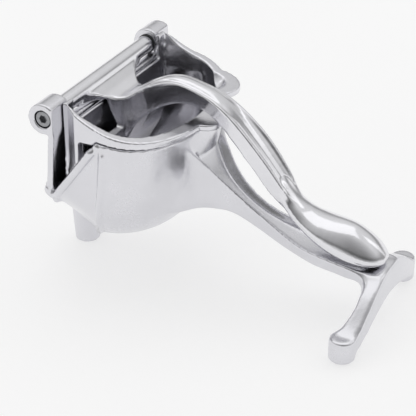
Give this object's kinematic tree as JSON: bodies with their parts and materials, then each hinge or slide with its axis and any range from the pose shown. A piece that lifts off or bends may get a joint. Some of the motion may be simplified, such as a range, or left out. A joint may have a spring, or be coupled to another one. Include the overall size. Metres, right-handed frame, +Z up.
{
  "type": "hand press juicer",
  "caption": "Hand press fruit juicer of polished cast aluminium: lever with palm bulb hinged over a removable juice cup in a bowl with spout and trough arm to a T foot",
  "frame": {"origin": "centre of the juice spout's lower end, on the plane that the spout and the two feet stand on", "axes": "+X from the spout toward the T foot and the palm bulb, +Y along the hinge axis to the far side, +Z up"},
  "size_m": [0.1823, 0.1152, 0.1079],
  "materials": {
    "cast_body": "polished cast aluminium, satin with bright edges",
    "cast_cup": "polished cast aluminium, bright rim and window edges",
    "cast_lever": "mirror polished cast aluminium",
    "steel_shaft": "ground steel",
    "steel_screw": "stainless steel with turned face",
    "washer_plastic": "dark nylon"
  },
  "bodies": {
    "press_body": {"body_casting": "cast_body", "juice_cup": "cast_cup", "pivot_shaft": "steel_shaft", "pivot_screw_near": "steel_screw", "pivot_screw_far": "steel_screw", "thrust_washer_near": "washer_plastic", "thrust_washer_far": "washer_plastic"},
    "lever": {"press_lever": "cast_lever"}
  },
  "joints": [
    {"name": "lever_hinge", "type": "hinge", "parent": "press_body", "child": "lever", "pos_m": [0.0148, 0, 0.0998], "axis": [0, -1, 0], "range_deg": [0, 110]}
  ]
}
